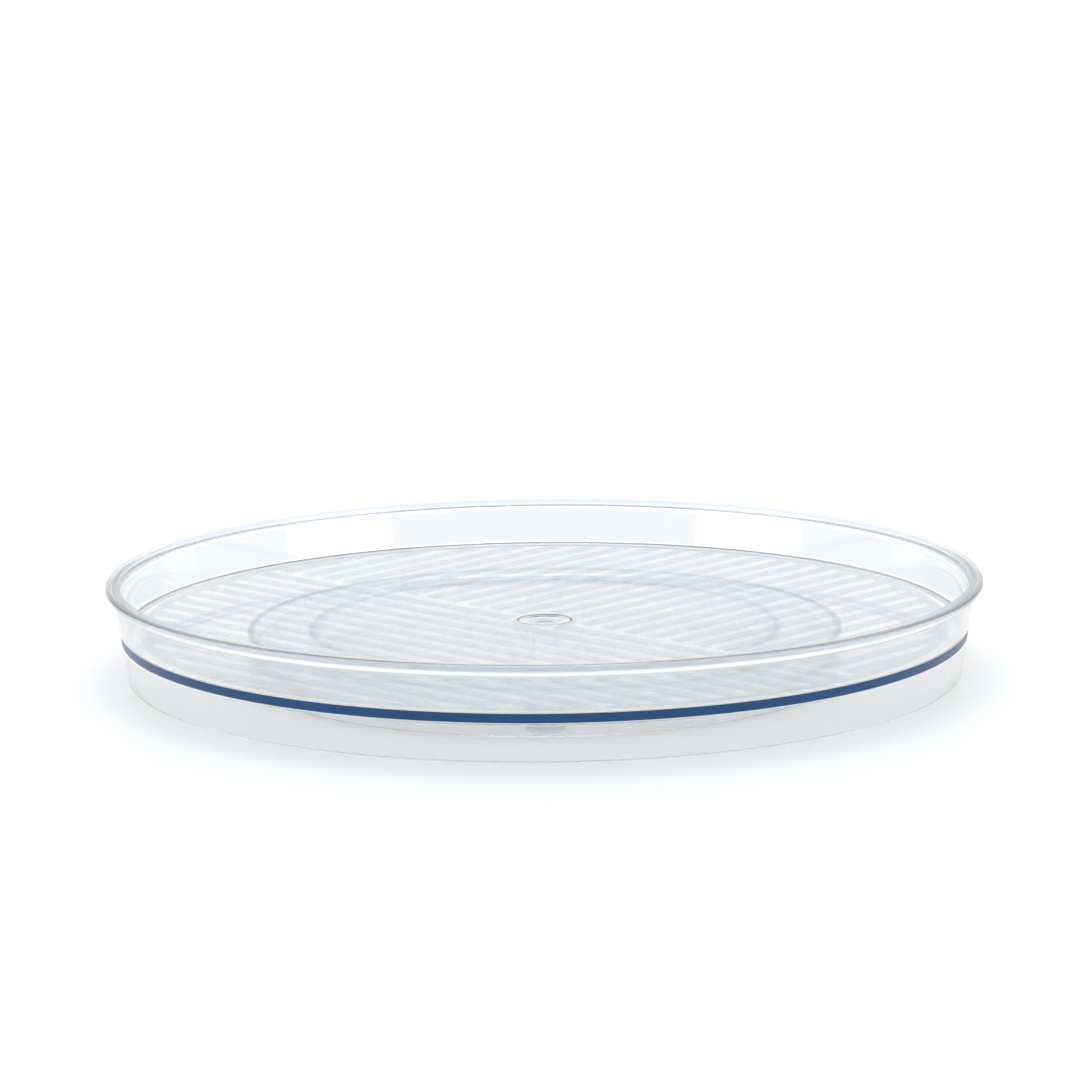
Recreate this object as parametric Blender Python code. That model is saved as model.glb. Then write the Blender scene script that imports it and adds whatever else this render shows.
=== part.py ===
"""Clear plastic lazy susan: a shallow round tray that turns on a ring of caged balls over a low base.

The tray, its coloured band and its grip mat turn together. The base, its centre pin and its feet
stand still. The ball cage and its balls run between them at half the tray's speed.
Everything is in metres, with +Z up and the origin on the table, on the axis of rotation.
"""

import math

import bmesh
import bpy
from mathutils import Matrix

MM = 0.001

# Tray: the overall size and the wall.
tray_radius = 140.0 * MM  # the widest circle of the lip
overall_height = 32.2 * MM  # from the table to the top of the lip
skirt_lift = 1.6 * MM  # from the table to the bottom edge of the skirt
wall_thickness = 2.1 * MM
wall_draft = 0.15  # how far the wall leans out, per unit of height
lip_radius = 1.4 * MM  # the round bead along the top edge
lip_overhang = 2.44 * MM  # from the wall to the widest circle
lip_fillet_height = 2.0 * MM
lip_inner_round = 0.9 * MM
skirt_edge_round = 0.6 * MM

# Tray: the floor.
floor_height = 17.0 * MM  # from the table to the top of the floor
floor_thickness = 2.4 * MM
floor_fillet = 2.0 * MM  # between the floor and the wall, inside
skirt_fillet = 1.0 * MM  # between the floor and the skirt, underneath
tray_boss_wall = 1.2 * MM  # round the pin head's recess

# Coloured band, let into the wall at the floor's level.
band_height = 2.9 * MM
band_thickness = 0.8 * MM

# Grip mat: parallel strips joined by a rim, in two fields that meet along a line through the centre.
mat_edge_margin = 2.4 * MM  # bare floor between the mat and the wall's fillet
mat_rim_width = 3.2 * MM
mat_thickness = 0.6 * MM
strip_pitch = 9.76 * MM
strip_width = 4.9 * MM
mat_field_angle = math.radians(47.0)  # the direction of the strips in the far field
mat_hub_margin = 1.5 * MM  # bare floor round the centre pin

# Base.
base_radius = 95.2 * MM
base_wall = 2.0 * MM
track_width = 17.6 * MM  # between the base's outer wall and its inner ring
deck_thickness = 2.0 * MM
deck_lift = 1.2 * MM  # from the table to the underside of the deck
base_wall_lift = 0.8 * MM  # from the table to the bottom of the outer wall
track_thickness = 2.0 * MM
hub_wall = 2.0 * MM
hub_roof = 2.5 * MM  # above the washer's recess

# Bearing.
ball_radius = 3.0 * MM
ball_count = 16
cage_rim = 1.6 * MM  # beyond the balls' pockets, on each side
cage_thickness = 2.0 * MM

# Centre pin and its washer.
pin_head_radius = 8.6 * MM
pin_head_thickness = 1.5 * MM
pin_radius = 5.0 * MM
pin_barb = 1.2 * MM  # how far the snap end stands out past the shaft
pin_barb_height = 1.2 * MM
washer_width = 3.4 * MM
washer_thickness = 0.8 * MM

# Feet.
foot_count = 6
foot_radius = 5.4 * MM
foot_round = 0.3 * MM
foot_boss_margin = 0.6 * MM  # of the boss past the foot that is stuck to it

# Clearances.
contact_gap = 0.3 * MM  # between pieces that touch or nearly touch
floor_clearance = 1.0 * MM  # between the tray's underside and the base's walls
hub_clearance = 0.4 * MM  # between the tray's boss and the base's hub
weld = 0.5 * MM  # how far a joined shape reaches into its neighbour

# Facets of a full turn.
large_steps = 72
small_steps = 24
pocket_steps = 12
ball_segments = 12
ball_rings = 6

# Heights worked out from the sizes above.
rim_z = overall_height - lip_radius
lip_bottom_z = rim_z - lip_radius
underside_z = floor_height - floor_thickness
band_top_z = floor_height
band_bottom_z = band_top_z - band_height
base_top_z = underside_z - floor_clearance
ball_z = underside_z - contact_gap - ball_radius
track_z = ball_z - ball_radius - contact_gap
track_bottom_z = track_z - track_thickness
deck_z = deck_lift + deck_thickness
pin_head_bottom_z = floor_height - pin_head_thickness
counterbore_z = pin_head_bottom_z - contact_gap

# The washer hangs on the pin's snap end, in a recess under the hub.
pin_tip_z = deck_lift + contact_gap
barb_z = pin_tip_z + pin_barb_height
washer_z = barb_z + contact_gap
recess_z = washer_z + washer_thickness + contact_gap
hub_top_z = recess_z + hub_roof
tray_boss_z = hub_top_z + hub_clearance

# Radii worked out from the sizes above.
outer_wall_inner = base_radius - base_wall
inner_ring_outer = outer_wall_inner - track_width
inner_ring_inner = inner_ring_outer - base_wall
track_radius = (inner_ring_outer + outer_wall_inner) / 2
pocket_radius = ball_radius + contact_gap
bore_radius = pin_radius + contact_gap
counterbore_radius = pin_head_radius + contact_gap
tray_boss_radius = counterbore_radius + tray_boss_wall
washer_radius = bore_radius + washer_width
recess_radius = washer_radius + contact_gap
hub_radius = recess_radius + hub_wall


def wall_outer(z):
    """Radius of the tray's outer face at a height below the lip."""
    return tray_radius - lip_overhang - wall_draft * (lip_bottom_z - z)


def wall_inner(z):
    return wall_outer(z) - wall_thickness


def floor_edge():
    """Radius at which the flat floor meets the wall's fillet."""
    return wall_inner(floor_height + floor_fillet) - floor_fillet


def arc(centre, across, up, first, last, count):
    """Points on an ellipse round a centre, from one angle in degrees to another."""
    angles = [math.radians(first + (last - first) * i / (count - 1)) for i in range(count)]
    return [(centre[0] + across * math.cos(a), centre[1] + up * math.sin(a)) for a in angles]


def plastic(name, colour, roughness, transmission=0.0, ior=1.5):
    material = bpy.data.materials.new(name)
    material.use_nodes = True
    shader = material.node_tree.nodes["Principled BSDF"]
    shader.inputs["Base Color"].default_value = (*colour, 1.0)
    shader.inputs["Roughness"].default_value = roughness
    shader.inputs["Metallic"].default_value = 0.0
    shader.inputs["Transmission Weight"].default_value = transmission
    shader.inputs["IOR"].default_value = ior
    return material


def finish(name, bm, material, parent=None, location=(0.0, 0.0, 0.0)):
    """Turns a bmesh into a smooth-shaded object with one material."""
    bmesh.ops.remove_doubles(bm, verts=bm.verts, dist=0.001 * MM)
    bmesh.ops.recalc_face_normals(bm, faces=bm.faces)
    mesh = bpy.data.meshes.new(name)
    bm.to_mesh(mesh)
    bm.free()
    mesh.materials.append(material)
    mesh.shade_smooth()
    mesh.set_sharp_from_angle(angle=math.radians(30.0))
    return place(name, mesh, parent, location)


def place(name, mesh, parent=None, location=(0.0, 0.0, 0.0)):
    item = bpy.data.objects.new(name, mesh)
    bpy.context.scene.collection.objects.link(item)
    item.parent = parent
    item.location = location
    return item


def axis_empty(name, location):
    """An empty on the turntable's axis, which carries the pieces of one moving body."""
    return place(name, None, None, location)


def turned(profile, steps, closed=True):
    """A bmesh of a profile of (radius, height) points swept round the Z axis."""
    bm = bmesh.new()
    points = [bm.verts.new((radius, 0.0, z)) for radius, z in profile]
    for first, second in zip(points, points[1:]):
        bm.edges.new((first, second))
    if closed:
        bm.edges.new((points[-1], points[0]))
    bmesh.ops.spin(
        bm,
        geom=bm.verts[:] + bm.edges[:],
        cent=(0.0, 0.0, 0.0),
        axis=(0.0, 0.0, 1.0),
        angle=math.tau,
        steps=steps,
        use_merge=True,
    )
    return bm


def ring_points(count, radius, first_angle=0.0):
    """Evenly spaced places on a circle round the axis."""
    angles = [first_angle + math.tau * i / count for i in range(count)]
    return [(radius * math.cos(a), radius * math.sin(a)) for a in angles]


def posts(places, radius, low, high, steps):
    """A bmesh of upright cylinders, one at each place."""
    bm = bmesh.new()
    for x, y in places:
        bmesh.ops.create_cone(
            bm,
            cap_ends=True,
            segments=steps,
            radius1=radius,
            radius2=radius,
            depth=high - low,
            matrix=Matrix.Translation((x, y, (low + high) / 2)),
        )
    return bm


def combine(item, name, bm, operation, material):
    """Joins to an object, or cuts from it, the shapes in a bmesh, which becomes a hidden helper."""
    helper = finish(name, bm, material, item.parent, item.location)
    helper.hide_render = True
    helper.display_type = "WIRE"
    modifier = item.modifiers.new(name, "BOOLEAN")
    modifier.operation = operation
    modifier.solver = "EXACT"
    modifier.object = helper


def make_tray(clear, parent):
    """Wall, skirt, lip and floor in one moulding, with a boss for the centre pin."""
    lip_x = tray_radius - lip_radius
    fillet_end_z = lip_bottom_z - lip_fillet_height
    fillet_across = lip_x - wall_outer(fillet_end_z)
    lip = arc((lip_x, rim_z), lip_radius, lip_radius, 90, -90, 7)
    under_lip = arc((lip_x, fillet_end_z), fillet_across, lip_fillet_height, 90, 180, 3)
    groove_low_z = band_bottom_z - contact_gap
    groove_high_z = band_top_z + contact_gap
    groove_depth = band_thickness + contact_gap
    groove = [
        (wall_outer(groove_high_z), groove_high_z),
        (wall_outer(groove_high_z) - groove_depth, groove_high_z),
        (wall_outer(groove_low_z) - groove_depth, groove_low_z),
        (wall_outer(groove_low_z), groove_low_z),
    ]
    edge_z = skirt_lift + skirt_edge_round
    skirt_edge = [
        (wall_outer(edge_z), edge_z),
        (wall_outer(skirt_lift) - skirt_edge_round, skirt_lift),
        (wall_inner(skirt_lift) + skirt_edge_round, skirt_lift),
        (wall_inner(edge_z), edge_z),
    ]
    skirt_corner_z = underside_z - skirt_fillet
    skirt_corner = arc(
        (wall_inner(skirt_corner_z) - skirt_fillet, skirt_corner_z), skirt_fillet, skirt_fillet, 0, 90, 3
    )
    boss = [
        (tray_boss_radius, underside_z),
        (tray_boss_radius, tray_boss_z),
        (bore_radius, tray_boss_z),
        (bore_radius, counterbore_z),
        (counterbore_radius, counterbore_z),
        (counterbore_radius, floor_height),
    ]
    corner_z = floor_height + floor_fillet
    floor_corner = arc((floor_edge(), corner_z), floor_fillet, floor_fillet, -90, 0, 4)
    inner_top_z = overall_height - lip_inner_round
    inner_top = arc(
        (wall_inner(inner_top_z) + lip_inner_round, inner_top_z), lip_inner_round, lip_inner_round, 180, 90, 3
    )
    profile = lip + under_lip[1:] + groove + skirt_edge + skirt_corner + boss + floor_corner + inner_top
    return finish("tray", turned(profile, large_steps), clear, parent)


def make_band(navy, parent):
    """A ring let into the wall's groove, flush with the wall."""
    profile = [
        (wall_outer(band_top_z), band_top_z),
        (wall_outer(band_bottom_z), band_bottom_z),
        (wall_outer(band_bottom_z) - band_thickness, band_bottom_z),
        (wall_outer(band_top_z) - band_thickness, band_top_z),
    ]
    return finish("accent_band", turned(profile, large_steps), navy, parent)


def add_strip(bm, first, last, across, low, high):
    """One strip of the mat, between two distances along the strips' own direction."""
    middle = ((first + last) / 2, across, (low + high) / 2)
    size = Matrix.Diagonal((last - first, strip_width, high - low, 1.0))
    bmesh.ops.create_cube(bm, size=1.0, matrix=Matrix.Translation(middle) @ size)


def make_mat(grip, parent):
    """Strips along two directions, tied together by a rim. They stop short of the centre line and the pin."""
    low = floor_height + contact_gap
    high = low + mat_thickness
    mat_radius = floor_edge() - mat_edge_margin
    rim_inner = mat_radius - mat_rim_width
    rim = [(mat_radius, high), (mat_radius, low), (rim_inner, low), (rim_inner, high)]
    mat = finish("grip_mat", turned(rim, large_steps), grip, parent)

    bar_gap = strip_pitch - strip_width
    hub = counterbore_radius + mat_hub_margin
    reach = rim_inner + mat_rim_width / 2

    def chord(across):
        return math.sqrt(reach**2 - (abs(across) + strip_width / 2) ** 2)

    def clear_of_pin(across):
        """How far from the middle a strip at this offset has to stay."""
        nearest = max(abs(across) - strip_width / 2, 0.0)
        return math.sqrt(max(hub**2 - nearest**2, 0.0))

    bm = bmesh.new()
    offsets = [strip_pitch * (i + 0.5) for i in range(int(reach / strip_pitch))]
    offsets = [across for across in offsets if across + strip_width / 2 < rim_inner]
    for across in offsets:
        for side in (across, -across):
            first = max(bar_gap / 2, clear_of_pin(side))
            add_strip(bm, first, chord(side), side, low, high)
    bmesh.ops.rotate(bm, verts=bm.verts, matrix=Matrix.Rotation(-math.pi / 2, 3, "Z"))
    for across in offsets:
        inner = clear_of_pin(across)
        if inner > 0.0:
            add_strip(bm, inner, chord(across), across, low, high)
            add_strip(bm, -chord(across), -inner, across, low, high)
        else:
            add_strip(bm, -chord(across), chord(across), across, low, high)
    turn = Matrix.Rotation(mat_field_angle + math.pi / 2, 3, "Z")
    bmesh.ops.rotate(bm, verts=bm.verts, matrix=turn)
    combine(mat, "mat_strips", bm, "UNION", grip)
    return mat


def make_base(clear, parent):
    """Deck with a hub, and two upright rings with the ball track between them."""
    profile = [
        (bore_radius, hub_top_z),
        (hub_radius, hub_top_z),
        (hub_radius, deck_z),
        (inner_ring_inner, deck_z),
        (inner_ring_inner, base_top_z),
        (inner_ring_outer, base_top_z),
        (inner_ring_outer, track_z),
        (outer_wall_inner, track_z),
        (outer_wall_inner, base_top_z),
        (base_radius, base_top_z),
        (base_radius, base_wall_lift),
        (outer_wall_inner, base_wall_lift),
        (outer_wall_inner, track_bottom_z),
        (inner_ring_outer, track_bottom_z),
        (inner_ring_outer, deck_lift),
        (recess_radius, deck_lift),
        (recess_radius, recess_z),
        (bore_radius, recess_z),
    ]
    base = finish("base", turned(profile, large_steps), clear, parent)
    boss_radius = foot_radius + foot_boss_margin
    bosses = posts(foot_places(), boss_radius, deck_lift, track_bottom_z + weld, small_steps)
    combine(base, "foot_bosses", bosses, "UNION", clear)
    return base


def foot_places():
    return ring_points(foot_count, track_radius, math.pi / foot_count)


def make_feet(rubber, parent):
    """Round pads between the base's bosses and the table."""
    top = deck_lift - contact_gap
    profile = [
        (0.0, top),
        (foot_radius, top),
        (foot_radius, foot_round),
        (foot_radius - foot_round, 0.0),
        (0.0, 0.0),
    ]
    first, *others = foot_places()
    foot = finish("foot_1", turned(profile, small_steps, closed=False), rubber, parent, (*first, 0.0))
    for number, (x, y) in enumerate(others, start=2):
        place(f"foot_{number}", foot.data, parent, (x, y, 0.0))


def make_cage(natural, parent):
    """Flat ring with a round pocket for each ball. Its origin is at the balls' height."""
    inner = track_radius - pocket_radius - cage_rim
    outer = track_radius + pocket_radius + cage_rim
    half = cage_thickness / 2
    profile = [(outer, half), (outer, -half), (inner, -half), (inner, half)]
    cage = finish("ball_cage", turned(profile, large_steps), natural, parent)
    pockets = posts(
        ring_points(ball_count, track_radius),
        pocket_radius,
        -cage_thickness,
        cage_thickness,
        pocket_steps,
    )
    combine(cage, "ball_pockets", pockets, "DIFFERENCE", natural)
    return cage


def make_balls(acrylic, parent):
    bm = bmesh.new()
    bmesh.ops.create_uvsphere(bm, u_segments=ball_segments, v_segments=ball_rings, radius=ball_radius)
    first, *others = ring_points(ball_count, track_radius)
    ball = finish("ball_01", bm, acrylic, parent, (*first, 0.0))
    for number, (x, y) in enumerate(others, start=2):
        place(f"ball_{number:02}", ball.data, parent, (x, y, 0.0))


def make_pin(clear, parent):
    """Headed pin that holds the tray down, with a snap end that carries the washer."""
    profile = [
        (0.0, floor_height),
        (pin_head_radius, floor_height),
        (pin_head_radius, pin_head_bottom_z),
        (pin_radius, pin_head_bottom_z),
        (pin_radius, barb_z),
        (pin_radius + pin_barb, barb_z),
        (pin_radius, pin_tip_z),
        (0.0, pin_tip_z),
    ]
    return finish("centre_pin", turned(profile, small_steps, closed=False), clear, parent)


def make_washer(natural, parent):
    top = washer_z + washer_thickness
    profile = [
        (washer_radius, top),
        (washer_radius, washer_z),
        (bore_radius, washer_z),
        (bore_radius, top),
    ]
    return finish("pin_washer", turned(profile, small_steps), natural, parent)


def main():
    for item in list(bpy.data.objects):
        bpy.data.objects.remove(item)

    clear = plastic("clear_plastic", (0.90, 0.94, 0.97), 0.04, transmission=0.9, ior=1.57)
    navy = plastic("navy_plastic", (0.035, 0.08, 0.17), 0.25)
    grip = plastic("grip_strip", (0.80, 0.85, 0.89), 0.45, transmission=0.5, ior=1.45)
    natural = plastic("natural_plastic", (0.88, 0.90, 0.91), 0.30, transmission=0.6, ior=1.45)
    acrylic = plastic("ball_acrylic", (0.93, 0.95, 0.97), 0.05, transmission=0.9, ior=1.49)
    rubber = plastic("foot_rubber", (0.82, 0.85, 0.87), 0.50, transmission=0.4, ior=1.45)

    standing = axis_empty("base_axis", (0.0, 0.0, 0.0))
    turning = axis_empty("tray_axis", (0.0, 0.0, 0.0))
    rolling = axis_empty("cage_axis", (0.0, 0.0, ball_z))

    make_tray(clear, turning)
    make_band(navy, turning)
    make_mat(grip, turning)
    make_base(clear, standing)
    make_feet(rubber, standing)
    make_pin(clear, standing)
    make_washer(natural, standing)
    make_cage(natural, rolling)
    make_balls(acrylic, rolling)


main()
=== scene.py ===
# %% [markdown]
# # A clear plastic turntable
#
# A lazy susan is a shallow round tray that turns on a low base. Nearly every piece of it is moulded round one
# upright axis, so nearly every piece here starts as half a cross-section that is swept once round that axis.
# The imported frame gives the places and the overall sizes, so each fine piece takes exactly the place of the
# plain one that the physics uses.

# %% Load the frame
import math

import bmesh
import bpy
from mathutils import Matrix, Vector


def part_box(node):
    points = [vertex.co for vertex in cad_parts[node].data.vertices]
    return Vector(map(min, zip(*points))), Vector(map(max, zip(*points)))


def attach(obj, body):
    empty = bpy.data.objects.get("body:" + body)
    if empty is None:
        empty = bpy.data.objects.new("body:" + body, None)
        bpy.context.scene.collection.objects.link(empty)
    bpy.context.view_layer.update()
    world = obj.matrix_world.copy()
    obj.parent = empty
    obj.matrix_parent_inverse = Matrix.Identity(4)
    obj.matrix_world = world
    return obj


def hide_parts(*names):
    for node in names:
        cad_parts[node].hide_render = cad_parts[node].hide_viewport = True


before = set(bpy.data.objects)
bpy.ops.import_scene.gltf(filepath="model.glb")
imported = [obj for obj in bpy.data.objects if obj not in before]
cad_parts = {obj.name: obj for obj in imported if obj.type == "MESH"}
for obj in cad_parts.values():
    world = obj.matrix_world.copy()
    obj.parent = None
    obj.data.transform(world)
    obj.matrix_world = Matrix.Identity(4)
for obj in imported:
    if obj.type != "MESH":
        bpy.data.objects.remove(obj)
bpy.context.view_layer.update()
MM = 0.001
HAIR = 0.02 * MM  # left between pieces that touch

# %% [markdown]
# ## Sizes
#
# A node's box gives its outer radius, its top and its underside. What no box can say, such as the thickness
# of a wall, is a named size in millimetres.

# %% Read the sizes
tray_low, tray_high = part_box("tray")
band_low, band_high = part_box("accent_band")
mat_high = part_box("grip_mat")[1]
base_low, base_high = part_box("base")
pin_low, pin_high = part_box("centre_pin")
washer_low, washer_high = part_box("pin_washer")
cage_low, cage_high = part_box("ball_cage")
ball_low, ball_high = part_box("ball_01")
foot_low, foot_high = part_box("foot_1")

contact_gap = 0.3 * MM  # between pieces that turn past each other
floor_thickness = 2.4 * MM
floor_top = pin_high.z
floor_under = floor_top - floor_thickness
wall = 2.1 * MM
draft = 0.15  # how far the wall leans out, per unit of height
head_radius = pin_high.x
head_thickness = 1.5 * MM
head_under = floor_top - head_thickness
shaft_radius = 5.0 * MM
bore_radius = shaft_radius + contact_gap
track_middle = (ball_low.x + ball_high.x) / 2
print(f"tray: {2 * tray_high.x / MM:.1f} mm across, {tray_high.z / MM:.1f} mm high")
print(f"floor: {floor_top / MM:.1f} mm up")

# %% [markdown]
# ## Turning a cross-section
#
# `spin` sweeps a chain of points round the axis, as a lathe turns a mould. A full turn merges its last copy
# with its first. A real moulding has no knife edges, so a small bevel then rounds each edge that turns
# sharply: those thin rounds are what catches the light on clear plastic.

# %% Turn and round
AROUND = 288


def arc(centre, across, up, first, last, count):
    """Points on an ellipse round a centre, from one angle in degrees to another."""
    steps = [math.radians(first + (last - first) * i / (count - 1)) for i in range(count)]
    return [(centre[0] + across * math.cos(a), centre[1] + up * math.sin(a)) for a in steps]


def bend(edge):
    """How far, in degrees, the surface turns across an edge."""
    return math.degrees(edge.calc_face_angle(0.0)) if edge.is_manifold else 0.0


def round_edges(bm, edges, radius, segments=3):
    bmesh.ops.bevel(
        bm,
        geom=edges,
        affect="EDGES",
        offset=radius,
        offset_type="OFFSET",
        segments=segments,
        profile=0.5,
        material=-1,
        clamp_overlap=True,
    )


def with_supports(profile, closed, inset=0.5 * MM):
    """Adds a point near each end of every long straight run, so that smooth shading leaves it flat."""
    result = []
    following = profile[1:] + (profile[:1] if closed else [])
    for (r1, z1), (r2, z2) in zip(profile, following):
        length = math.hypot(r2 - r1, z2 - z1)
        result.append((r1, z1))
        if length > 3 * inset:
            share = inset / length
            result.append((r1 + share * (r2 - r1), z1 + share * (z2 - z1)))
            result.append((r2 - share * (r2 - r1), z2 - share * (z2 - z1)))
    return result if closed else result + profile[-1:]


def turned(profile, around=AROUND, closed=True, edge=0.0, least=35.0):
    """(radius, height) points swept round the axis. Edges that bend more than `least` degrees are rounded."""
    bm = bmesh.new()
    points = [bm.verts.new((radius, 0.0, height)) for radius, height in with_supports(profile, closed)]
    for pair in zip(points, points[1:]):
        bm.edges.new(pair)
    if closed:
        bm.edges.new((points[-1], points[0]))
    bmesh.ops.spin(
        bm,
        geom=bm.verts[:] + bm.edges[:],
        cent=(0.0, 0.0, 0.0),
        axis=(0.0, 0.0, 1.0),
        angle=math.tau,
        steps=around,
        use_merge=True,
    )
    bmesh.ops.remove_doubles(bm, verts=bm.verts, dist=0.002 * MM)
    bmesh.ops.recalc_face_normals(bm, faces=bm.faces)
    if edge:
        round_edges(bm, [e for e in bm.edges if bend(e) > least], edge)
    return bm


def moved(bm, x, y):
    bmesh.ops.translate(bm, verts=bm.verts, vec=(x, y, 0.0))
    return bm


# %% [markdown]
# ## Tying a piece to the frame
#
# Each piece says which body it rides on, which plain node it stands for, and which finish slot it uses.

# %% Make a piece
def piece(name, bm, material, body, node_name):
    bmesh.ops.recalc_face_normals(bm, faces=bm.faces)
    mesh = bpy.data.meshes.new(name)
    bm.to_mesh(mesh)
    bm.free()
    mesh.materials.append(material)
    mesh.shade_smooth()
    mesh.set_sharp_from_angle(angle=math.radians(38.0))
    made = bpy.data.objects.new(name, mesh)
    bpy.context.scene.collection.objects.link(made)
    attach(made, body)
    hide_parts(node_name)
    print(f"{name}: {len(mesh.polygons)} faces")


# %% [markdown]
# ## Cutting one shape with another
#
# Pockets and bosses aren't turned round the middle axis. A Boolean modifier joins or cuts them, and the
# result is read back, so no modifier or cutter is left in the scene.

# %% Join or cut
def combined(bm, other, operation):
    """The first shape joined to, or cut by, the second one."""
    pair = []
    for shape in (bm, other):
        mesh = bpy.data.meshes.new("shape")
        shape.to_mesh(mesh)
        shape.free()
        pair.append(bpy.data.objects.new("shape", mesh))
        bpy.context.scene.collection.objects.link(pair[-1])
    modifier = pair[0].modifiers.new("combine", "BOOLEAN")
    modifier.operation = operation
    modifier.solver = "EXACT"
    modifier.object = pair[1]
    result = bmesh.new()
    result.from_object(pair[0], bpy.context.evaluated_depsgraph_get())
    for helper in pair:
        mesh = helper.data
        bpy.data.objects.remove(helper)
        bpy.data.meshes.remove(mesh)
    return result


def around_axis(count, radius, first=0.0):
    """Evenly spaced places on a circle round the axis."""
    angles = [first + math.tau * i / count for i in range(count)]
    return [(radius * math.cos(a), radius * math.sin(a)) for a in angles]


def posts(places, profile, around):
    """One turned shape at each place, in one bmesh."""
    result = bmesh.new()
    for x, y in places:
        one = moved(turned(profile, around, closed=False), x, y)
        mesh = bpy.data.meshes.new("post")
        one.to_mesh(mesh)
        one.free()
        result.from_mesh(mesh)
        bpy.data.meshes.remove(mesh)
    return result


# %% [markdown]
# ## Writing a material as a sum
#
# A small class wraps an output socket, so that `grain * 0.1 + 0.3` adds the Math nodes that it needs. One
# function makes any other node. Shades are read in an object's own coordinates, so they turn with it.

# %% The shader helper
class Socket:
    """An output socket that can be added, subtracted and multiplied."""

    def __init__(self, tree, output):
        self.tree = tree
        self.output = output

    def maths(self, operation, first, second):
        return node(self.tree, "ShaderNodeMath", {"operation": operation}, {0: first, 1: second})

    def __add__(self, other):
        return self.maths("ADD", self, other)

    def __radd__(self, other):
        return self.maths("ADD", other, self)

    def __sub__(self, other):
        return self.maths("SUBTRACT", self, other)

    def __rsub__(self, other):
        return self.maths("SUBTRACT", other, self)

    def __mul__(self, other):
        return self.maths("MULTIPLY", self, other)

    def __rmul__(self, other):
        return self.maths("MULTIPLY", other, self)


def node(tree, kind, settings=None, values=None, output=0):
    """Makes a node, sets its settings first, fills its inputs and returns one output."""
    made = tree.nodes.new(kind)
    for name, value in (settings or {}).items():
        setattr(made, name, value)
    for key, value in (values or {}).items():
        if isinstance(value, Socket):
            tree.links.new(value.output, made.inputs[key])
        else:
            made.inputs[key].default_value = value
    return Socket(tree, made.outputs[output])


def principled(name, **fixed):
    """A material with a Principled shader, and the values that are the same all over it."""
    material = bpy.data.materials.new(name)
    material.use_nodes = True
    shader = material.node_tree.nodes["Principled BSDF"]
    for key, value in fixed.items():
        shader.inputs[key.replace("_", " ")].default_value = value
    return material, material.node_tree, shader


def feed(tree, shader, **inputs):
    for key, value in inputs.items():
        tree.links.new(value.output, shader.inputs[key.replace("_", " ")])


def own_place(tree):
    """Where a point is, in its object's own coordinates."""
    return node(tree, "ShaderNodeTexCoord", output=3)


def noise(tree, scale, detail=3.0):
    return node(tree, "ShaderNodeTexNoise", {}, {"Vector": own_place(tree), "Scale": scale, "Detail": detail})


def tint(tree, factor, low, high):
    """A colour between two, by a factor from 0 to 1."""
    return node(
        tree,
        "ShaderNodeMix",
        {"data_type": "RGBA"},
        {0: factor, 6: (*low, 1.0), 7: (*high, 1.0)},
        output=2,
    )


def blend(tree, factor, first, second):
    """A mix of two colour sockets."""
    return node(tree, "ShaderNodeMix", {"data_type": "RGBA"}, {0: factor, 6: first, 7: second}, output=2)


def height_mask(tree, start, end):
    """0 at one height and 1 at another, with an even change between them."""
    limits = {"Value": height_of(tree), "From Min": start, "From Max": end}
    return node(tree, "ShaderNodeMapRange", {}, limits)


def height_of(tree):
    """How high a point is, in metres."""
    return node(tree, "ShaderNodeSeparateXYZ", {}, {0: own_place(tree)}, output=2)


def radius_of(tree):
    """How far a point is from the upright axis, in metres."""
    level = {0: own_place(tree), 1: (1.0, 1.0, 0.0)}
    flat = node(tree, "ShaderNodeVectorMath", {"operation": "MULTIPLY"}, level)
    return node(tree, "ShaderNodeVectorMath", {"operation": "LENGTH"}, {0: flat}, output=1)


def ripple(tree, height, strength, distance):
    return node(tree, "ShaderNodeBump", {}, {"Strength": strength, "Distance": distance, "Height": height})


# %% [markdown]
# ## Clear plastic
#
# Injection-moulded styrene is clear with a trace of blue. Up close its tint drifts a little where the melt
# flowed, its polish is a little uneven, and its faces carry a very shallow ripple. The tray's tint is set by
# height as painted light and shade: lighter below the floor as painted light against the shadow there, deeper
# up the wall as painted shade, and deepest and bluest in the thick bead of the lip as painted blue-grey
# shade.
# The small pieces bend the light less than real plastic does, so that they stay faint under the tray.

# %% Clear finishes
def clear_finish(name, low, high, polish, ior, depth, grain):
    material, tree, shader = principled(name, IOR=ior, Transmission_Weight=1.0)
    flow = noise(tree, 16.0)
    fine = noise(tree, grain, 2.0)
    feed(
        tree,
        shader,
        Base_Color=tint(tree, flow, low, high),
        Roughness=flow * (0.5 * polish) + 0.75 * polish,
        Normal=ripple(tree, fine, depth, 0.05 * MM),
    )
    return material


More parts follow.
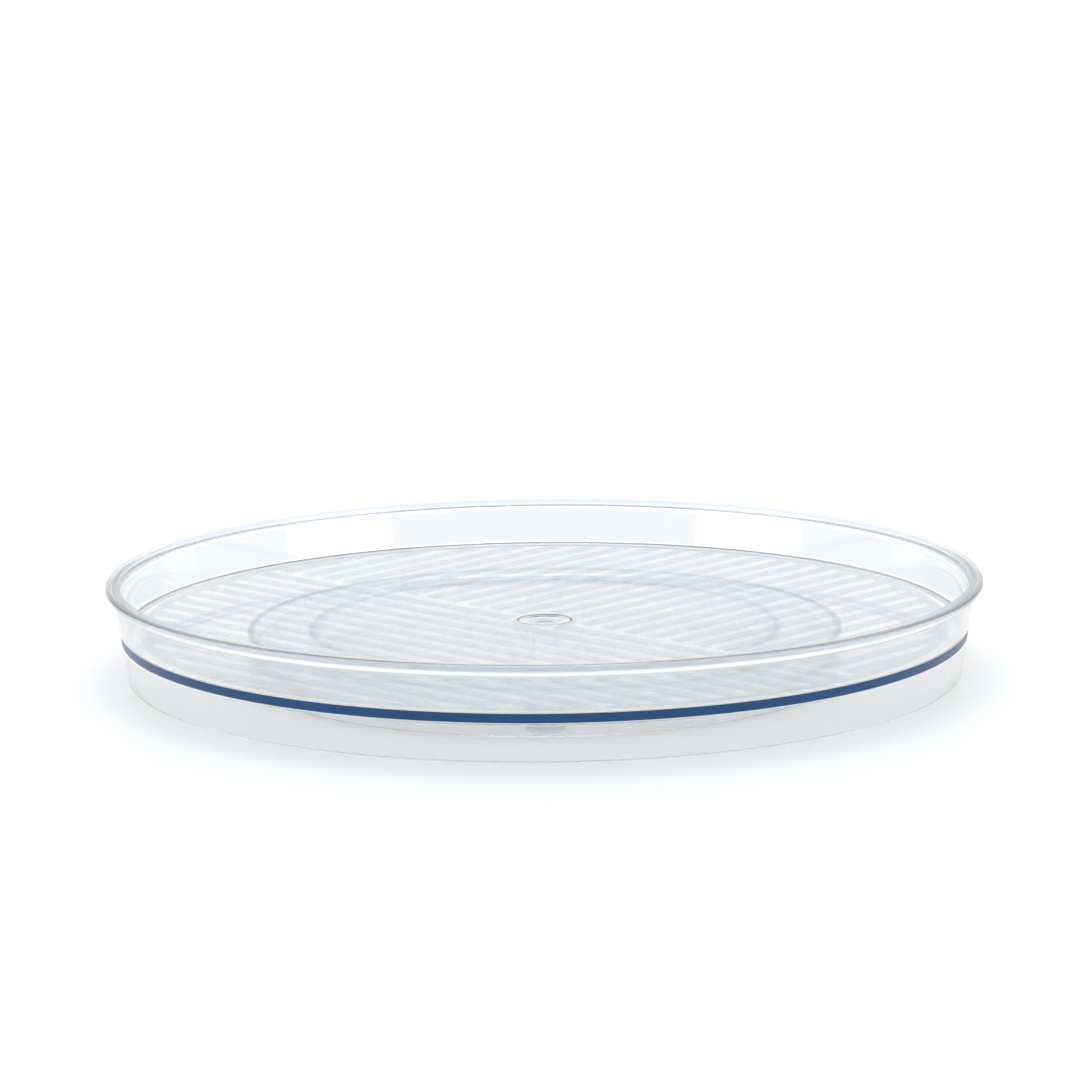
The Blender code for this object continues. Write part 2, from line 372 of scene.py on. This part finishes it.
def tray_finish():
    """Clear plastic with painted light and shade in its tint: lighter below the floor, deeper up the wall and
    bluest in the bead. Its polish changes in the bead and at the skirt's foot.
    """
    material, tree, shader = principled("clear_plastic", IOR=1.5, Transmission_Weight=1.0)
    flow = noise(tree, 16.0)
    upper = height_mask(tree, floor_top + 0.2 * MM, floor_top + 1.0 * MM)
    bead = height_mask(tree, tray_high.z - 4.0 * MM, tray_high.z - 2.2 * MM)
    hem = height_mask(tree, tray_low.z + 1.2 * MM, tray_low.z + 0.6 * MM)
    # Painted light and shade by height: the lighter tint below the floor offsets the shadow there, the deeper
    # tint darkens the wall as painted shade, and the bluer bead tint paints the lip's blue-grey shade.
    low_tint_painted_light = tint(tree, flow, (0.925, 0.935, 0.942), (0.937, 0.947, 0.954))
    wall_tint_painted_shade = tint(tree, flow, (0.876, 0.886, 0.894), (0.888, 0.898, 0.906))
    bead_tint_painted_shade = tint(tree, flow, (0.815, 0.870, 0.945), (0.827, 0.882, 0.957))
    feed(
        tree,
        shader,
        Base_Color=blend(tree, bead, blend(tree, upper, low_tint_painted_light, wall_tint_painted_shade), bead_tint_painted_shade),
        Roughness=bead * 0.13 + hem * 0.2 + flow * 0.025 + 0.035,
        Normal=ripple(tree, noise(tree, 120.0, 2.0), 0.006, 0.05 * MM),
    )
    return material


clear_plastic = tray_finish()
ball_low_tint = (0.985, 0.988, 0.99)
ball_high_tint = (0.99, 0.993, 0.995)
pale_low = (0.975, 0.98, 0.985)
pale_high = (0.985, 0.99, 0.992)
foot_low_tint = (0.965, 0.975, 0.98)
foot_high_tint = (0.975, 0.982, 0.987)
ball_acrylic = clear_finish("ball_acrylic", ball_low_tint, ball_high_tint, 0.08, 1.08, 0.03, 900.0)
natural_plastic = clear_finish("natural_plastic", pale_low, pale_high, 0.12, 1.08, 0.1, 1400.0)
pin_plastic = clear_finish("pin_plastic", pale_low, pale_high, 0.05, 1.22, 0.05, 900.0)
foot_rubber = clear_finish("foot_rubber", foot_low_tint, foot_high_tint, 0.16, 1.12, 0.3, 1800.0)
print("clear finishes:", ", ".join(material.name for material in bpy.data.materials))


# %% [markdown]
# The base is the same kind of plastic, clearer still. The narrow tops of its two rings are rougher and carry
# a dark blue painted shade, so they show through the floor as two soft blue circles.

# %% Plastic of the base
deck_blend = (6.6 * MM, 5.8 * MM)  # below these heights the polish is softer


def base_finish():
    """Clear plastic. The narrow top of each upright ring is rougher and carries a dark blue painted shade."""
    material, tree, shader = principled("base_plastic", IOR=1.38, Transmission_Weight=1.0)
    flow = noise(tree, 16.0)
    ring_top = height_mask(tree, base_high.z - 0.4 * MM, base_high.z - 0.2 * MM)
    lower = height_mask(tree, *deck_blend)
    polished = tint(tree, flow, (0.965, 0.975, 0.978), (0.972, 0.982, 0.985))
    # The dark blue on the ring tops is painted shade.
    ring_top_painted_shade = tint(tree, flow, (0.20, 0.32, 0.44), (0.24, 0.36, 0.48))
    feed(
        tree,
        shader,
        Base_Color=blend(tree, ring_top, polished, ring_top_painted_shade),
        Roughness=ring_top * 0.2 + lower * 0.12 + flow * 0.03 + 0.04,
        Normal=ripple(tree, noise(tree, 120.0, 2.0), 0.01, 0.05 * MM),
    )
    return material


base_plastic = base_finish()


# %% [markdown]
# The grip strips are a thin frosted film that lets most of the light through.

# %% Grip strips
def grip_finish():
    """A thin frosted film: it veils what lies under it, and bends no light."""
    material, tree, shader = principled("grip_strip", IOR=1.15)
    drift = noise(tree, 30.0)
    fine = noise(tree, 900.0, 2.0)
    feed(
        tree,
        shader,
        Base_Color=tint(tree, drift, (0.46, 0.56, 0.64), (0.50, 0.60, 0.68)),
        Roughness=fine * 0.15 + 0.5,
        Alpha=fine * 0.03 + 0.13,
        Normal=ripple(tree, fine, 0.2, 0.02 * MM),
    )
    return material


grip_strip = grip_finish()


# %% [markdown]
# The band is navy on its outer face and pale on its back, so it doesn't darken the clear wall behind it. The
# two are told apart by how far a point lies from the upright axis, which stays true as the tray turns.

# %% Navy plastic
def navy_finish():
    """Navy on its outer face, with a pale backing, so that it doesn't show through the clear wall."""
    material, tree, shader = principled("navy_plastic", IOR=1.4)
    mottle = noise(tree, 60.0)
    fine = noise(tree, 1500.0, 2.0)
    depth = wall_outer(0.0) + height_of(tree) * draft - radius_of(tree)
    backing = node(tree, "ShaderNodeMath", {"operation": "GREATER_THAN"}, {0: depth, 1: 0.7 * band_depth})
    navy = tint(tree, mottle, (0.004, 0.052, 0.155), (0.007, 0.061, 0.178))
    feed(
        tree,
        shader,
        Base_Color=blend(tree, backing, navy, (0.93, 0.95, 0.97, 1.0)),
        Roughness=mottle * 0.1 + 0.24,
        Normal=ripple(tree, fine, 0.1, 0.03 * MM),
    )
    return material


# %% [markdown]
# ## The tray
#
# One clear moulding: a round floor, a wall that leans out, a bead along the lip, and a skirt that runs down
# past the floor to hide the base. The groove for the navy band and the socket for the pin are in the same
# section.

# %% Tray
lip_radius = 1.4 * MM
lip_height = tray_high.z - lip_radius
lip_overhang = 2.44 * MM
band_depth = 0.3 * MM
hub_roof = 2.5 * MM
hub_clearance = 0.4 * MM
hub_top = washer_high.z + contact_gap + hub_roof
tray_boss_under = hub_top + hub_clearance


def wall_outer(height):
    return tray_high.x - lip_overhang - draft * (lip_height - lip_radius - height)


def wall_inner(height):
    return wall_outer(height) - wall


def tray_section():
    lip_x = tray_high.x - lip_radius
    hollow = 2.0 * MM
    hollow_z = lip_height - lip_radius - hollow
    lip = arc((lip_x, lip_height), lip_radius, lip_radius, 90, -90, 17)
    lip += arc((lip_x, hollow_z), lip_x - wall_outer(hollow_z), hollow, 90, 180, 9)[1:]
    groove_top = band_high.z + HAIR
    groove_under = band_low.z - HAIR
    groove = [
        (wall_outer(groove_top), groove_top),
        (wall_outer(groove_top) - band_depth - HAIR, groove_top),
        (wall_outer(groove_under) - band_depth - HAIR, groove_under),
        (wall_outer(groove_under), groove_under),
    ]
    edge = 0.6 * MM
    foot_z = tray_low.z
    skirt = arc((wall_outer(foot_z) - edge, foot_z + edge), edge, edge, 0, -90, 6)
    skirt += arc((wall_inner(foot_z) + edge, foot_z + edge), edge, edge, -90, -180, 6)
    corner = 1.0 * MM
    corner_z = floor_under - corner
    skirt += arc((wall_inner(corner_z) - corner, corner_z), corner, corner, 0, 90, 8)
    socket_wall = 1.5 * MM
    boss_radius = head_radius + socket_wall
    socket = [
        (boss_radius, floor_under),
        (boss_radius, tray_boss_under),
        (bore_radius, tray_boss_under),
        (bore_radius, head_under - HAIR),
        (head_radius + contact_gap, head_under - HAIR),
        (head_radius + contact_gap, floor_top),
    ]
    sweep = 0.5 * MM
    sweep_z = floor_top + sweep
    inside = arc((wall_inner(sweep_z) - sweep, sweep_z), sweep, sweep, -90, 0, 10)
    brow = 0.6 * MM
    brow_z = tray_high.z - brow
    inside += arc((wall_inner(brow_z) + brow, brow_z), brow, brow, 180, 90, 8)
    return lip + groove + skirt + socket + inside


tray_bm = turned(tray_section(), edge=0.12 * MM)
piece("clear_tray", tray_bm, clear_plastic, "turning_tray", "tray")

# %% [markdown]
# ## The navy band
#
# A ring of solid navy plastic lies in the groove, flush with the wall at the height of the floor.

# %% Band
band_section = [
    (wall_outer(band_high.z), band_high.z),
    (wall_outer(band_low.z), band_low.z),
    (wall_outer(band_low.z) - band_depth, band_low.z),
    (wall_outer(band_high.z) - band_depth, band_high.z),
]
band_bm = turned(band_section, edge=0.1 * MM)
navy_plastic = navy_finish()
piece("navy_band", band_bm, navy_plastic, "turning_tray", "accent_band")

# %% [markdown]
# ## The grip mat
#
# Thin strips keep bottles from sliding. They lie in two fields that meet on a slanting line: in the near
# field they run along that line, and in the far field they run square to it. A rim ties them together. A disc
# is cut along every edge of every strip, the gaps are deleted, and what is left gets its thickness and its
# round ends.

# %% Strip layout
PITCH = 9.76 * MM
STRIP = 4.9 * MM
GAP = PITCH - STRIP
FIELD_ANGLE = math.radians(47.0)
FAR = Vector((math.cos(FIELD_ANGLE), math.sin(FIELD_ANGLE), 0.0))  # along the far strips
SIDE = Vector((-FAR.y, FAR.x, 0.0))  # along the near strips
mat_radius = mat_high.x
mat_rim = 3.2 * MM
rim_inner = mat_radius - mat_rim
hub_clear = head_radius + 1.8 * MM  # no strip comes nearer to the middle
film = 0.2 * MM


def cut(bm, faces, direction, distance):
    """Splits faces along a straight line that is square to a direction."""
    edges = {e for f in faces for e in f.edges}
    verts = {v for f in faces for v in f.verts}
    bmesh.ops.bisect_plane(
        bm,
        geom=list(faces) + list(edges) + list(verts),
        plane_co=direction * distance,
        plane_no=direction,
        dist=0.001 * MM,
    )


def strip_edges(limit):
    """Distances of both edges of each strip from the middle, as far out as a limit."""
    count = int(limit / PITCH) + 1
    edges = [GAP / 2 + k * PITCH + extra for k in range(count) for extra in (0.0, STRIP)]
    return [e for e in edges if e < limit - 0.5 * MM]


def is_gap(face):
    middle = face.calc_center_median()
    far, side = middle.dot(FAR), middle.dot(SIDE)
    if middle.length < hub_clear or abs(far) < GAP / 2:
        return True
    offset = -far if far < 0 else abs(side)
    return (offset - GAP / 2) % PITCH > STRIP


# %% Cut the strips
def mat_shape():
    bm = bmesh.new()
    bmesh.ops.create_circle(bm, cap_ends=True, segments=AROUND, radius=rim_inner)
    ring = bmesh.ops.extrude_edge_only(bm, edges=bm.edges[:])["geom"]
    outer = [v for v in ring if isinstance(v, bmesh.types.BMVert)]
    bmesh.ops.scale(bm, verts=outer, vec=(mat_radius / rim_inner, mat_radius / rim_inner, 1.0))

    def field(test):
        """Faces inside the rim whose middle, along the far and near strips, passes a test."""
        middles = [(f, f.calc_center_median()) for f in bm.faces]
        return [f for f, m in middles if m.length < rim_inner and test(m.dot(FAR), m.dot(SIDE))]

    cut(bm, field(lambda far, side: True), -FAR, GAP / 2)
    for distance in strip_edges(rim_inner):
        cut(bm, field(lambda far, side: far < -GAP / 2), -FAR, distance)
    cut(bm, field(lambda far, side: far > -GAP / 2), FAR, GAP / 2)
    for distance in strip_edges(rim_inner):
        cut(bm, field(lambda far, side: far > GAP / 2), SIDE, distance)
        cut(bm, field(lambda far, side: far > GAP / 2), -SIDE, distance)
    reach = math.sqrt(hub_clear**2 - (GAP / 2) ** 2)
    cut(bm, field(lambda far, side: -GAP / 2 - STRIP < far < -GAP / 2), SIDE, reach)
    cut(bm, field(lambda far, side: -GAP / 2 - STRIP < far < -GAP / 2), -SIDE, reach)
    cut(bm, field(lambda far, side: far > GAP / 2 and GAP / 2 < abs(side) < GAP / 2 + STRIP), FAR, reach)
    bmesh.ops.delete(bm, geom=[f for f in field(lambda far, side: True) if is_gap(f)], context="FACES")
    return bm


mat_bm = mat_shape()
print("flat faces in the mat:", len(mat_bm.faces))

# %% Thicken and soften the strips
top_faces = mat_bm.faces[:]
raised = bmesh.ops.extrude_face_region(mat_bm, geom=top_faces)["geom"]
raised_verts = [v for v in raised if isinstance(v, bmesh.types.BMVert)]
bmesh.ops.translate(mat_bm, verts=raised_verts, vec=(0.0, 0.0, film))
bmesh.ops.translate(mat_bm, verts=mat_bm.verts, vec=(0.0, 0.0, floor_top + HAIR))
bmesh.ops.recalc_face_normals(mat_bm, faces=mat_bm.faces)


def upright(edge):
    return abs((edge.verts[0].co - edge.verts[1].co).normalized().z) > 0.9


round_edges(mat_bm, [e for e in mat_bm.edges if upright(e) and bend(e) > 30.0], 1.4 * MM, 5)
bmesh.ops.remove_doubles(mat_bm, verts=mat_bm.verts, dist=0.002 * MM)
brink = [e for e in mat_bm.edges if bend(e) > 60.0 and sum(f.normal.z > 0.9 for f in e.link_faces) == 1]
round_edges(mat_bm, brink, 0.06 * MM, 2)
piece("grip_strips", mat_bm, grip_strip, "turning_tray", "grip_mat")

# %% [markdown]
# ## The base
#
# A low clear moulding that never turns: two upright rings with the ball track between them, a thin deck, and
# a hub in the middle for the pin. Six round bosses under the track carry the feet.

# %% Base
base_radius = base_high.x
base_top = base_high.z
base_wall = 2.0 * MM
track_width = 17.6 * MM
outer_inside = base_radius - base_wall
inner_outside = outer_inside - track_width
inner_inside = inner_outside - base_wall
track_top = ball_low.z - contact_gap
track_under = track_top - base_wall
deck_under = 1.2 * MM
deck_top = deck_under + base_wall
recess_radius = washer_high.x + contact_gap
recess_top = washer_high.z + contact_gap
hub_radius = recess_radius + base_wall


def base_section():
    corner = 1.0 * MM
    fillet = 0.6 * MM
    inside_corner = arc((inner_inside - corner, deck_top + corner), corner, corner, -90, 0, 6)
    return [
        (bore_radius, hub_top),
        (hub_radius, hub_top),
        (hub_radius, deck_top),
        *inside_corner,
        (inner_inside, base_top),
        (inner_outside, base_top),
        *arc((inner_outside + fillet, track_top + fillet), fillet, fillet, 180, 270, 5),
        *arc((outer_inside - fillet, track_top + fillet), fillet, fillet, 270, 360, 5),
        (outer_inside, base_top),
        (base_radius, base_top),
        (base_radius, base_low.z),
        (outer_inside, base_low.z),
        (outer_inside, track_under),
        (inner_outside, track_under),
        (inner_outside, deck_under),
        (recess_radius, deck_under),
        (recess_radius, recess_top),
        (bore_radius, recess_top),
    ]


boss_under = foot_high.z + HAIR
boss_radius = 6.0 * MM
weld = 0.5 * MM  # how far a boss runs into the track
boss_section = [
    (0.0, track_under + weld),
    (boss_radius, track_under + weld),
    (boss_radius, boss_under),
    (0.0, boss_under),
]
foot_places = around_axis(6, track_middle, math.pi / 6)
base_bm = turned(base_section(), edge=0.25 * MM, least=50.0)
base_bm = combined(base_bm, posts(foot_places, boss_section, 48), "UNION")
piece("clear_base", base_bm, base_plastic, "standing_base", "base")

# %% [markdown]
# ## The centre pin and its washer
#
# The pin drops through the tray and the hub from above. Its flat head lies flush in the tray's floor, and its
# snap end holds a washer under the hub, so the tray can turn and can't lift off.

# %% Pin and washer
barb = 1.2 * MM
barb_edge = 0.4 * MM
snap_radius = shaft_radius + barb
snap_top = pin_low.z + barb
core_radius = shaft_radius - 1.6 * MM
dish = 0.12 * MM  # how far the middle of the head is sunk
dish_radius = 0.72 * head_radius
chamfer = 0.25 * MM
pin_section = [
    (0.0, floor_top - dish),
    *arc((dish_radius, floor_top - dish / 2), 0.5 * MM, dish / 2, -90, 90, 7),
    (head_radius - chamfer, floor_top),
    (head_radius, floor_top - chamfer),
    (head_radius, head_under),
    (shaft_radius, head_under),
    (shaft_radius, snap_top),
    (snap_radius, snap_top),
    (snap_radius, snap_top - barb_edge),
    (shaft_radius - barb_edge, pin_low.z),
    (core_radius, pin_low.z),
    (core_radius, head_under - 1.5 * MM),
    (0.0, head_under - 1.2 * MM),
]
pin_bm = turned(pin_section, 128, closed=False, edge=0.08 * MM)
piece("snap_pin", pin_bm, pin_plastic, "standing_base", "centre_pin")

washer_section = [
    (washer_high.x, washer_high.z),
    (washer_high.x, washer_low.z),
    (bore_radius, washer_low.z),
    (bore_radius, washer_high.z),
]
washer_bm = turned(washer_section, 128, edge=0.15 * MM)
piece("washer", washer_bm, pin_plastic, "standing_base", "pin_washer")

# %% [markdown]
# ## The balls and their cage
#
# Sixteen balls roll on the track, and a flat ring with a pocket for each keeps them apart. A moulded ball
# shows the faint line where the two halves of its mould met.

# %% Cage
cage_radius = cage_high.x
cage_inner = 2 * track_middle - cage_radius
cage_section = [
    (cage_radius, cage_high.z),
    (cage_radius, cage_low.z),
    (cage_inner, cage_low.z),
    (cage_inner, cage_high.z),
]
ball_radius = (ball_high.z - ball_low.z) / 2
ball_height = (ball_high.z + ball_low.z) / 2
pocket_radius = ball_radius + contact_gap
mouth = 0.4 * MM  # how deep a pocket's mouth is chamfered
past = 1.0 * MM  # how far the cutter runs past the cage
pocket_section = [
    (0.0, cage_high.z + past),
    (pocket_radius + mouth + past, cage_high.z + past),
    (pocket_radius, cage_high.z - mouth),
    (pocket_radius, cage_low.z + mouth),
    (pocket_radius + mouth + past, cage_low.z - past),
    (0.0, cage_low.z - past),
]
ball_places = around_axis(16, track_middle)
cage_bm = turned(cage_section, edge=0.3 * MM)
cage_bm = combined(cage_bm, posts(ball_places, pocket_section, 40), "DIFFERENCE")
piece("spacer_cage", cage_bm, natural_plastic, "rolling_cage", "ball_cage")

# %% Balls
seam = 0.04 * MM
ball_section = [
    (0.0, ball_height + ball_radius),
    *arc((0.0, ball_height), ball_radius - seam, ball_radius, 88, 4, 18),
    (ball_radius, ball_height + 0.05 * MM),
    (ball_radius, ball_height - 0.05 * MM),
    *arc((0.0, ball_height), ball_radius - seam, ball_radius, -4, -88, 18),
    (0.0, ball_height - ball_radius),
]
for number, (x, y) in enumerate(ball_places, start=1):
    ball_bm = moved(turned(ball_section, 48, closed=False), x, y)
    ball = f"ball_{number:02}"
    piece(f"rolling_{ball}", ball_bm, ball_acrylic, "rolling_cage", ball)

# %% [markdown]
# ## The feet
#
# Soft pads keep the base from sliding. Each has a rounded edge and a shallow hollow in its underside.

# %% Feet
foot_radius = (foot_high.x - foot_low.x) / 2
foot_round = 0.3 * MM
foot_rim = 1.5 * MM
hollow = 0.25 * MM
foot_section = [
    (0.0, foot_high.z),
    (foot_radius, foot_high.z),
    *arc((foot_radius - foot_round, foot_round), foot_round, foot_round, 0, -90, 5),
    (foot_radius - foot_rim, 0.0),
    (foot_radius - foot_rim - foot_round, hollow),
    (0.0, hollow),
]
for number, (x, y) in enumerate(foot_places, start=1):
    foot_bm = moved(turned(foot_section, 64, closed=False, edge=0.05 * MM), x, y)
    piece(f"soft_foot_{number}", foot_bm, foot_rubber, "standing_base", f"foot_{number}")

# %% [markdown]
# ## The stage
#
# Clear plastic shows only what is around it. A white table with a little light of its own, a white surround
# and a broad light from above keep the plastic bright, and a dimmer side behind the camera draws its edges.
# Two softboxes at the sides lay the bright patches on the far wall.

# %% Table
TABLE_GLOW = 0.54
TABLE_SHADE = 0.36


def make_table():
    bm = bmesh.new()
    bmesh.ops.create_grid(bm, x_segments=1, y_segments=1, size=8.0)
    mesh = bpy.data.meshes.new("table")
    bm.to_mesh(mesh)
    bm.free()
    made = bpy.data.objects.new("table", mesh)
    bpy.context.scene.collection.objects.link(made)
    material, tree, shader = principled("white_table", Roughness=0.3, IOR=1.06)
    shader.inputs["Base Color"].default_value = (TABLE_SHADE, TABLE_SHADE, TABLE_SHADE + 0.005, 1.0)
    shader.inputs["Emission Color"].default_value = (1.0, 1.0, 1.0, 1.0)
    shader.inputs["Emission Strength"].default_value = TABLE_GLOW
    mesh.materials.append(material)


make_table()

# %% Surround and lights
def make_world(front, back):
    """Light from all round, dimmer in front of the object than behind it."""
    world = bpy.data.worlds.new("studio")
    bpy.context.scene.world = world
    world.use_nodes = True
    tree = world.node_tree
    background = tree.nodes["Background"]
    direction = node(tree, "ShaderNodeTexCoord", output=0)
    away = node(tree, "ShaderNodeSeparateXYZ", {}, {0: direction}, output=1)
    depth = node(
        tree,
        "ShaderNodeMapRange",
        {"interpolation_type": "SMOOTHSTEP"},
        {"Value": away, "From Min": -0.8, "From Max": 0.5},
    )
    colour = tint(tree, depth, front, back)
    tree.links.new(colour.output, background.inputs["Color"])
    background.inputs["Strength"].default_value = 1.0


make_world((0.72, 0.78, 0.83), (1.20, 1.20, 1.20))


def soft_light(name, size, power, place, aim):
    light = bpy.data.lights.new(name, "AREA")
    light.shape = "RECTANGLE"
    light.size, light.size_y = size
    light.energy = power
    made = bpy.data.objects.new(name, light)
    made.location = place
    made.rotation_euler = (Vector(aim) - Vector(place)).to_track_quat("-Z", "Y").to_euler()
    made.visible_camera = False
    bpy.context.scene.collection.objects.link(made)


soft_light("overhead", (0.6, 0.6), 5.0, (0.0, 0.1, 1.3), (0.0, 0.0, 0.0))
for name, side in (("left", -1.0), ("right", 1.0)):
    soft_light(f"{name} softbox", (0.9, 0.5), 3.5, (1.3 * side, -0.65, 0.2), (0.0, 0.1, 0.02))

# %% Render settings
scene = bpy.context.scene
scene.view_settings.view_transform = "Standard"
scene.cycles.use_denoising = True
scene.cycles.max_bounces = 32
scene.cycles.transmission_bounces = 32
scene.cycles.glossy_bounces = 16
scene.cycles.diffuse_bounces = 8
scene.cycles.transparent_max_bounces = 16

# %% [markdown]
# ## The camera
#
# A long lens looks down on the tray by eleven degrees, from about five tray widths away.

# %% Camera
distance = 10.074 * tray_high.x
height_angle = math.radians(11.10)
pitch = math.radians(90.0 + 0.489) - height_angle
yaw = math.radians(0.050)
roll = math.radians(-0.556)
camera_data = bpy.data.cameras.new("camera")
camera_data.sensor_width = 36.0
camera_data.lens = 146.7
camera_data.clip_start = 0.05
camera_data.clip_end = 50.0
camera = bpy.data.objects.new("camera", camera_data)
scene.collection.objects.link(camera)
stand = (0.0, -distance * math.cos(height_angle), lip_height + distance * math.sin(height_angle))
camera.matrix_world = (
    Matrix.Translation(stand)
    @ Matrix.Rotation(yaw, 4, "Z")
    @ Matrix.Rotation(pitch, 4, "X")
    @ Matrix.Rotation(roll, 4, "Z")
)
scene.camera = camera

# %% Update the scene and finish
bpy.context.view_layer.update()
